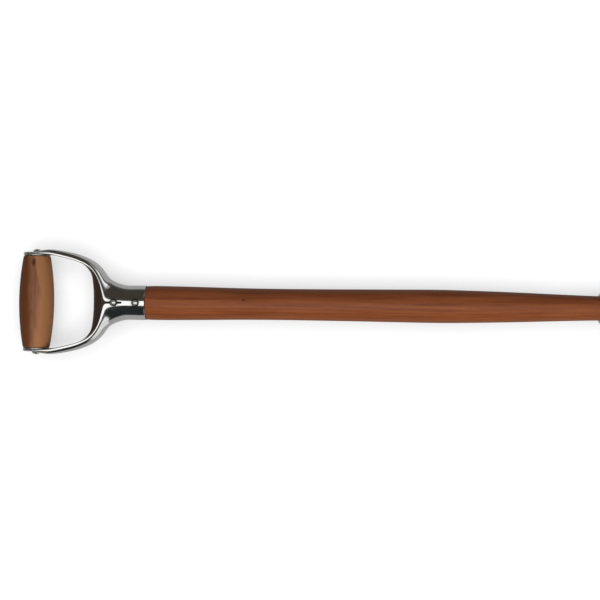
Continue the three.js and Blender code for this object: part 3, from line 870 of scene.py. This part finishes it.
def blade_shell():
    rows, bevel_rows, columns = 70, 4, 110
    flat_rows = rows - bevel_rows
    front, back = [], []
    for i in range(rows + 1):
        front.append([])
        back.append([])
        ground = max(0.0, (i - flat_rows) / bevel_rows)
        for place in shares(columns):
            share = math.sin(math.pi / 2 * (2 * place - 1))
            bevel_start = blade_reach(share) - BLADE_BEVEL_LENGTH
            along = bevel_start * min(i / flat_rows, 1.0) + BLADE_BEVEL_LENGTH * ground
            across = share * mix(BLADE_HALF_WIDTH, BLADE_TIP_HALF_WIDTH, along / BLADE_LENGTH)
            half = mix(BLADE_THICKNESS, BLADE_EDGE_THICKNESS, ground) / 2
            x, z = BLADE_TOP_X + along, blade_height(along, across)
            front[i].append((x, across, z + half))
            back[i].append((x, across, z - half))
    borders = [
        (front[0], back[0]), (front[-1], back[-1]),
        ([row[0] for row in front], [row[0] for row in back]),
        ([row[-1] for row in front], [row[-1] for row in back]),
    ]
    return shell_of(front, back, *borders)


def tread_shell(node):
    """A flat bar across the blade's shoulder, rounded at its outer end and along its edges."""
    low, high = box_mm(node)
    side = 1 if high.y > 0 else -1
    inner, outer = sorted((abs(low.y), abs(high.y)))

    def outline(inset):
        size = TREAD_END_ROUND - inset
        top, bottom, end = high.z - inset, low.z + inset, outer - inset
        arc = quarter_round(size, 8)
        points = [(inner + inset, top)]
        points += [(end - from_end, top - from_top) for from_end, from_top in arc]
        points += [(end - from_end, bottom + from_bottom) for from_bottom, from_end in arc]
        return points + [(inner + inset, bottom)]

    edge = quarter_round(TREAD_ROUND, 4)
    levels = [(inset, low.x + ahead) for inset, ahead in edge]
    levels += [(inset, high.x - ahead) for inset, ahead in reversed(edge)]
    rings = [[(x, y * side, z) for y, z in outline(inset)] for inset, x in levels]
    shell = shell_of([ring + ring[:1] for ring in rings])
    shell.cap(rings[0])
    shell.cap(rings[-1])
    return shell


def weld_shell(node):
    """The bead along a tread: a thin round body with the small waves of its laying."""
    side = 1 if box_mm(node)[1].y > 0 else -1
    path = []
    for share in shares(80):
        y = side * mix(WELD_START_Y, WELD_END_Y, share)
        z = blade_height(0, y) + BLADE_THICKNESS / 2 + WELD_RISE
        path.append(Vector((BLADE_TOP_X + WELD_INSET, y, z)))
    last, taper_steps = len(path) - 1, 3
    rows = []
    for i, centre in enumerate(path):
        ahead = path[min(i + 1, last)] - path[max(i - 1, 0)]
        across = ahead.cross(Vector((0, 0, 1))).normalized()
        up = across.cross(ahead).normalized()
        taper = math.sqrt(min(1.0, min(i, last - i) / taper_steps))
        size = WELD_RADIUS * taper * (1 + WELD_RIPPLE * math.sin(i * 1.9))
        row = []
        for angle in full_turn(12):
            row.append(centre + across * (size * math.cos(angle)) + up * (size * math.sin(angle)))
        rows.append(row)
    return shell_of(rows)


def socket_shell():
    """A tapered tube with a rolled mouth, bent back and flattened into a tongue on the blade."""
    sides = 72
    mouth_x = box_mm("socket")[0].x
    bottom_x = box_mm("shaft")[1].x + SOCKET_CLEARANCE
    curve = SmoothCurve(SOCKET_STATIONS, 0.014)
    stations = []
    for share in shares(18):
        angle = math.pi * share
        radius = SOCKET_MOUTH_RADIUS + SOCKET_BEAD_RADIUS * math.sin(angle)
        stations.append((mouth_x + SOCKET_BEAD_RADIUS * (1 - math.cos(angle)), 0.0, radius, radius))
    stations += [tuple(curve.at(share)) for share in shares(150)[1:]]
    rings = []
    for x, centre, half_width, half_height in stations:
        landed = smooth_step(BLADE_TOP_X + SOCKET_LANDING_START, BLADE_TOP_X + SOCKET_LANDING_END, x)
        power = 2 / mix(TUBE_SQUARENESS, TONGUE_SQUARENESS, landed)
        ring = []
        for angle in full_turn(sides):
            c, s = math.cos(angle), math.sin(angle)
            y = half_width * math.copysign(abs(c) ** power, c)
            floor = blade_height(max(x - BLADE_TOP_X, 0.0), y) + BLADE_THICKNESS / 2 - SOCKET_SINK
            below = mix(half_height, max(centre - floor, SOCKET_LEAST_DEPTH), landed)
            height = half_height if s >= 0 else below
            ring.append((x, y, centre + height * math.copysign(abs(s) ** power, s)))
        rings.append(ring)
    tip = np.mean(np.array(rings[-1][:-1]), 0)
    rings.append([tuple(tip)] * (sides + 1))
    bore = SHAFT_STATIONS[-1][1] + SOCKET_CLEARANCE
    lining = [
        (SOCKET_MOUTH_RADIUS, mouth_x), (bore + 0.5, mouth_x + 0.1), (bore, mouth_x + 0.8),
        (SHAFT_END_RADIUS + SOCKET_CLEARANCE, bottom_x), (0, bottom_x),
    ]
    return shell_of(rings, revolve(lining, "x", sides))


def make_head(looks):
    add_piece("blade_sheet", blade_shell(), looks["blade"], "blade")
    add_piece("socket_tube", socket_shell(), looks["socket"], "socket")
    for name in ("tread_left", "tread_right"):
        add_piece(name + "_bar", tread_shell(name), looks["tread"], name)
        add_piece(name + "_weld", weld_shell(name), looks["weld"])
    for name in ("socket_rivet_upper", "socket_rivet_lower"):
        rivet = rivet_shell(name, TUBE_RIVET, "z", 1)
        add_piece(name + "_head", rivet, looks["rivet"], name)


# ------------------------------------ studio

FLOOR_HALF = 7.0            # metres, and so are the next two
FLOOR_GAP = 0.0004
FLOOR_SHADE_REACH = 0.032
FLOOR_GLOW = 0.96           # what the camera sees of the open floor
FLOOR_PAINTED_SHADE = 0.56          # and how much of that glow is taken away right beside the spade, as painted shade
FLOOR_SEEN_NEAR = 0.42      # painted glow that polished steel sees in the floor nearby, and far off
FLOOR_SEEN_FAR = 0.08
GLOW_PATCH_DIRECTION = (-0.73, 0.62, 0.28)
GLOW_PATCH_STRENGTH = 0.5             # a brighter painted patch in that mirrored floor

KEY_DIRECTION = (0.24, -0.50, 1.0)
KEY_POWER = 2.35
KEY_ANGLE = math.radians(62)
SOFTBOX_PLACE = (285, -120, 1500)
SOFTBOX_SIZE = (1.97, 0.80)
SOFTBOX_RADIANCE = 1.35

AMBIENT = 0.29
BACKDROP = 1.2
ROOM_COOL = (0.022, 0.024, 0.026)
ROOM_WARM = (0.056, 0.047, 0.039)
ROOM_ENDS = (0.10, 0.107, 0.112)
ROOM_WINDOW = (0.52, 0.54, 0.55)
# Bright panels: the direction of the middle, the cosine of the angle to the rim, and the strength.
ROOM_PANELS = [((0.72, -0.68, 0.12), 0.94, 1.0), ((0.80, 0.58, 0.14), 0.972, 1.1)]
PANEL_BLUR = 0.02

CAMERA_PLACE = (289.5, 5.2, 1045)
CAMERA_TURN = math.radians(0.70)
CAMERA_LENS = 57.0
CAMERA_SENSOR = 36.0


def place(x, y, z):
    """A point given in the spade's own millimetres, as a place in metres."""
    return ORIGIN + Vector((x, y, z)) * MM


def floor_paper():
    """White paper. The camera sees it glowing bright, with painted shade beside the spade on top of the
    shadows that the sun casts. Polished steel sees a painted glow instead, dimmer, and darker towards the
    distance, as on a table in a dark room, with one brighter painted patch."""
    look = Look("floor_paper")
    rays = look.node("ShaderNodeLightPath").outputs
    incoming = look.node("ShaderNodeNewGeometry").outputs["Incoming"]
    _, sideways, upward = look.split(incoming)
    # Painted glow for polished steel: brighter nearby and on the lit side.
    lit_side = look.remap(sideways, -0.3, 0.3, 0.0, 0.20)
    near = look.remap(look.math("ADD", upward, lit_side), 0.15, 0.33, smooth=True)
    mirrored = look.remap(near, 0.0, 1.0, FLOOR_SEEN_FAR, FLOOR_SEEN_NEAR)
    # A brighter painted patch, which only reflections see.
    toward_glow_patch = look.measure("DOT_PRODUCT", incoming, GLOW_PATCH_DIRECTION)
    glow_patch = look.remap(toward_glow_patch, 0.93, 0.97, 0.0, GLOW_PATCH_STRENGTH, smooth=True)
    mirrored = look.math("ADD", mirrored, glow_patch)

    # Painted shade: the camera's glow dims where ambient occlusion finds the spade close by.
    reach = {"Distance": FLOOR_SHADE_REACH}
    open_sky = look.node("ShaderNodeAmbientOcclusion", reach, samples=8).outputs["AO"]
    seen = look.remap(open_sky, 0.0, 1.0, FLOOR_GLOW - FLOOR_PAINTED_SHADE, FLOOR_GLOW)
    camera_glow = look.math("MULTIPLY", rays["Is Camera Ray"], seen)
    mirror_glow = look.math("MULTIPLY", rays["Is Glossy Ray"], mirrored)
    glow = look.math("ADD", camera_glow, mirror_glow)

    fleck = look.noise(look.coordinates, 300.0, 2.0)
    paper = look.ramp(fleck, [(0.3, (0.17, 0.17, 0.17)), (0.7, (0.19, 0.19, 0.19))])
    color = look.blend(rays["Is Camera Ray"], (0.34, 0.335, 0.33), paper)
    color = look.blend(rays["Is Glossy Ray"], color, (0.0, 0.0, 0.0))
    return look.finish(Base_Color=color, Roughness=0.9, Specular_IOR_Level=0.0,
                       Emission_Color=(1, 1, 1, 1), Emission_Strength=glow)


def make_floor():
    size = FLOOR_HALF
    corners = [(-size, -size, 0), (size, -size, 0), (size, size, 0), (-size, size, 0)]
    mesh = bpy.data.meshes.new("floor")
    mesh.from_pydata(corners, [], [(0, 1, 2, 3)])
    mesh.materials.append(floor_paper())
    floor = bpy.data.objects.new("floor", mesh)
    floor.location.z = CAD_LOW.z - FLOOR_GAP
    bpy.context.scene.collection.objects.link(floor)


def add_light(name, kind, toward, location=(0, 0, 2)):
    """A light that shines from a direction, given as a vector from the object to the light."""
    data = bpy.data.lights.new(name, kind)
    light = bpy.data.objects.new(name, data)
    light.location = location
    light.rotation_euler = Vector(toward).to_track_quat("Z", "Y").to_euler()
    light.visible_camera = False
    bpy.context.scene.collection.objects.link(light)
    return light


def make_lights():
    """A broad sun for matt surfaces, and a long box above the handle that only steel mirrors."""
    key = add_light("key", "SUN", KEY_DIRECTION)
    key.data.energy = KEY_POWER
    key.data.angle = KEY_ANGLE
    key.visible_glossy = False
    box = add_light("softbox", "AREA", (0, 0, 1), place(*SOFTBOX_PLACE))
    box.data.shape = "RECTANGLE"
    box.data.size, box.data.size_y = SOFTBOX_SIZE
    box.data.energy = SOFTBOX_RADIANCE * math.pi * box.data.size * box.data.size_y
    box.visible_diffuse = False


def make_world():
    """White behind the scene, an even soft light on matt surfaces, and a dark studio with
    lighter ends, windows and panels for polished surfaces to mirror."""
    world = bpy.data.worlds.new("studio")
    bpy.context.scene.world = world
    world.use_nodes = True
    world.cycles.sampling_method = "NONE"
    world.node_tree.nodes.clear()
    sky = Nodes(world.node_tree)
    rays = sky.node("ShaderNodeLightPath").outputs
    direction = sky.node("ShaderNodeTexCoord").outputs["Generated"]
    lengthways, sideways, upward = sky.split(direction)

    dark = sky.blend(sky.remap(sideways, -0.5, 0.5), ROOM_COOL, ROOM_WARM)
    off_middle = sky.math("ABSOLUTE", lengthways)
    room = sky.blend(sky.remap(off_middle, 0.22, 0.75, smooth=True), dark, ROOM_ENDS)
    diagonal = sky.math("MULTIPLY", off_middle, sky.math("ABSOLUTE", sideways))
    window = 1.0
    for value, low, high in ((diagonal, 0.20, 0.36), (upward, 0.10, 0.32), (upward, 0.66, 0.44)):
        window = sky.math("MULTIPLY", sky.remap(value, low, high, smooth=True), window)
    room = sky.blend(window, room, ROOM_WINDOW)
    for toward, edge, strength in ROOM_PANELS:
        facing = sky.measure("DOT_PRODUCT", direction, Vector(toward).normalized())
        panel = sky.remap(facing, edge - PANEL_BLUR, edge + PANEL_BLUR, smooth=True)
        room = sky.blend(panel, room, (strength, strength, strength))

    def background(color, strength=1.0):
        return sky.node("ShaderNodeBackground", {"Color": color, "Strength": strength}).outputs[0]

    def choose(ray, otherwise, chosen):
        return sky.node("ShaderNodeMixShader", {0: rays[ray], 1: otherwise, 2: chosen}).outputs[0]

    white = (1, 1, 1, 1)
    seen = choose("Is Glossy Ray", background(white, AMBIENT), background(room))
    seen = choose("Is Camera Ray", seen, background(white, BACKDROP))
    sky.node("ShaderNodeOutputWorld", {"Surface": seen})


def make_camera():
    """The camera looks straight down on the handle, a little over a metre above it."""
    data = bpy.data.cameras.new("camera")
    data.lens = CAMERA_LENS
    data.sensor_width = CAMERA_SENSOR
    camera = bpy.data.objects.new("camera", data)
    camera.location = place(*CAMERA_PLACE)
    camera.rotation_euler = (0, 0, CAMERA_TURN)
    bpy.context.scene.collection.objects.link(camera)
    bpy.context.scene.camera = camera


# ------------------------------------ everything

STEEL = (0.76, 0.76, 0.74)
# The inside steel's colour is painted dark, as the shade inside the yoke's channel.
SHADED_INSIDE_STEEL = (0.20, 0.19, 0.18)
RIVET_STEEL = (0.80, 0.77, 0.70)
WELD_STEEL = (0.62, 0.61, 0.59)

make_handle({
    "yoke": steel("polished_steel", STEEL, roughness=0.125, spread=0.05, line_axis=X,
                  line_depth=0.10, painted_crevice_shade=True),
    "inside": steel("unpolished_steel_painted_shade", SHADED_INSIDE_STEEL, roughness=0.42, spread=0.10, line_axis=X,
                    line_depth=0.3),
    "rivet": steel("rivet_steel", RIVET_STEEL, roughness=0.24, spread=0.06, line_axis=Z,
                   line_depth=0.15, painted_crevice_shade=True, painted_dark_rim=True),
    "pin": steel("pin_steel", RIVET_STEEL, roughness=0.14, spread=0.06, line_axis=Y,
                 line_depth=0.15, painted_crevice_shade=True),
    "washer": washer_steel(),
    "block": block_wood(),
    "grip": grip_wood(),
    "shaft": shaft_wood(),
})
make_head({
    "blade": steel("blade_steel", STEEL, roughness=0.20, spread=0.08, line_axis=X,
                   line_depth=0.16, scratches=0.05),
    "socket": steel("socket_steel", STEEL, roughness=0.15, spread=0.06, line_axis=X,
                    line_depth=0.14, scratches=0.06),
    "tread": steel("tread_steel", STEEL, roughness=0.20, spread=0.08, line_axis=Y,
                   line_depth=0.14, scratches=0.06),
    "weld": steel("weld_steel", WELD_STEEL, roughness=0.32, spread=0.10, line_axis=Y,
                  line_depth=0.25, scratches=0.05),
    "rivet": bpy.data.materials["rivet_steel"],  # the plain one that the CAD frame brings along
})
make_floor()
make_lights()
make_world()
make_camera()
bpy.context.scene.view_settings.view_transform = "Standard"
